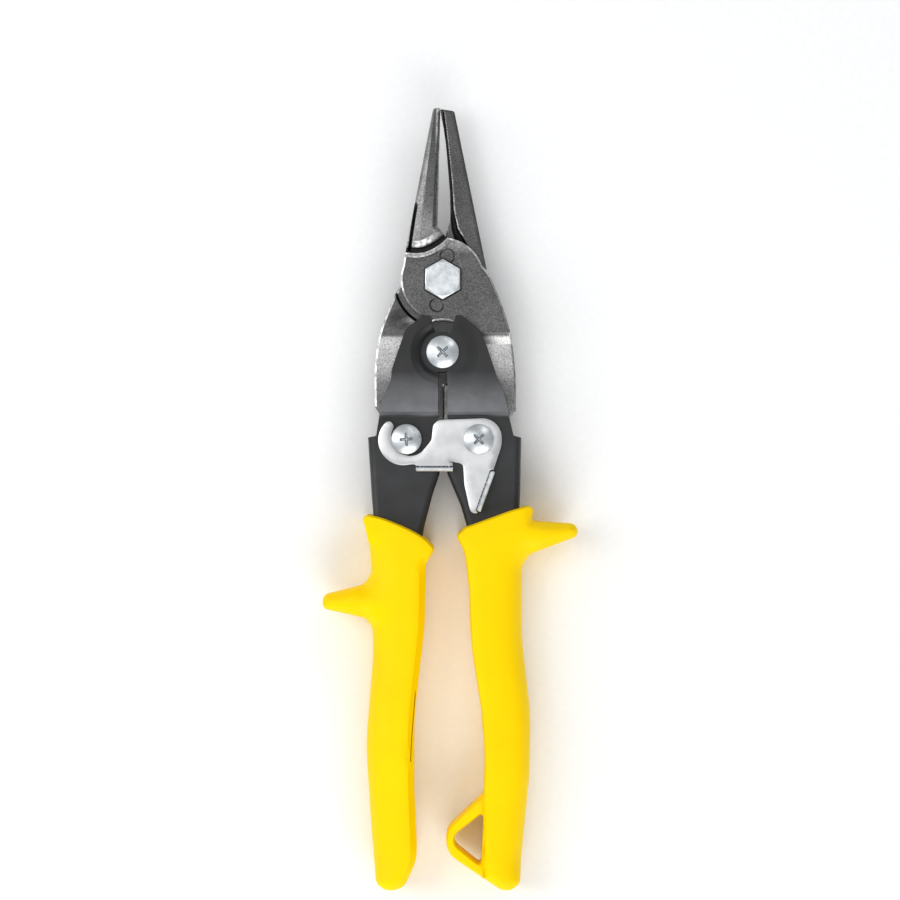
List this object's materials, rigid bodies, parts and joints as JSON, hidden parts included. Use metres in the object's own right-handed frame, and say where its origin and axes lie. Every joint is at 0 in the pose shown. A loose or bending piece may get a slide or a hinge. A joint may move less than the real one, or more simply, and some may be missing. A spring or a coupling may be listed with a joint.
{
  "type": "aviation snips",
  "caption": "Compound action sheet metal snips with long slim jaws, black pressed handles, yellow grips with thumb lugs, a hook latch and a hanging loop.",
  "frame": {"origin": "middle of the tool's bounding box, on the plane of the grips' flat backs, where the tool lies on a surface", "axes": "+Y along the tool towards the jaw tips, +X to the right seen from the front, +Z out of the front face, which carries the latch"},
  "size_m": [0.0808, 0.2476, 0.02],
  "materials": {
    "blade_steel": "dark hardened steel, satin, with bright ground edges",
    "bright_zinc": "bright zinc plating",
    "latch_zinc": "satin zinc plating on pressed sheet",
    "black_coat": "thin satin black coating on pressed sheet steel",
    "yellow_grip": "glossy yellow moulded vinyl",
    "spring_wire": "oiled spring wire"
  },
  "bodies": {
    "right_handle": {"right_handle_frame": "black_coat", "right_grip": "yellow_grip", "handle_pivot_screw": "bright_zinc", "handle_pivot_sleeve": "latch_zinc", "handle_pivot_nut": "bright_zinc", "right_pivot_screw": "bright_zinc", "right_pivot_nut": "bright_zinc", "right_tang_washers": "latch_zinc", "latch_washer": "latch_zinc", "return_spring": "spring_wire"},
    "left_handle": {"left_handle_frame": "black_coat", "left_grip": "yellow_grip", "left_pivot_screw": "bright_zinc", "left_pivot_nut": "bright_zinc", "left_tang_washers": "latch_zinc"},
    "front_blade": {"front_blade": "blade_steel", "pivot_bolt": "bright_zinc", "pivot_washer": "bright_zinc", "pivot_nut": "bright_zinc"},
    "rear_blade": {"rear_blade": "blade_steel"},
    "latch": {"latch": "latch_zinc"}
  },
  "joints": [
    {"name": "handle_open", "type": "hinge", "parent": "right_handle", "child": "left_handle", "pos_m": [-0.00239, 0.0463, 0.01], "axis": [0, 0, -1], "range_deg": [0, 34], "deforming": ["return_spring"]},
    {"name": "front_blade_swing", "type": "hinge", "parent": "right_handle", "child": "front_blade", "pos_m": [0.00901, 0.0188, 0.01], "axis": [0, 0, -1], "range_deg": [0, 8.2]},
    {"name": "blade_open", "type": "hinge", "parent": "front_blade", "child": "rear_blade", "pos_m": [-0.00239, 0.0693, 0.01], "axis": [0, 0, -1], "range_deg": [0, 17.7]},
    {"name": "latch_swing", "type": "hinge", "parent": "right_handle", "child": "latch", "pos_m": [0.00901, 0.0188, 0.01], "axis": [0, 0, 1], "range_deg": [0, 65]}
  ],
  "couplings": [
    {"joint": "front_blade_swing", "follows": "handle_open", "ratio": 0.24},
    {"joint": "blade_open", "follows": "handle_open", "ratio": 0.52},
    {"joint": "latch_swing", "follows": "handle_open", "ratio": 1.9}
  ]
}
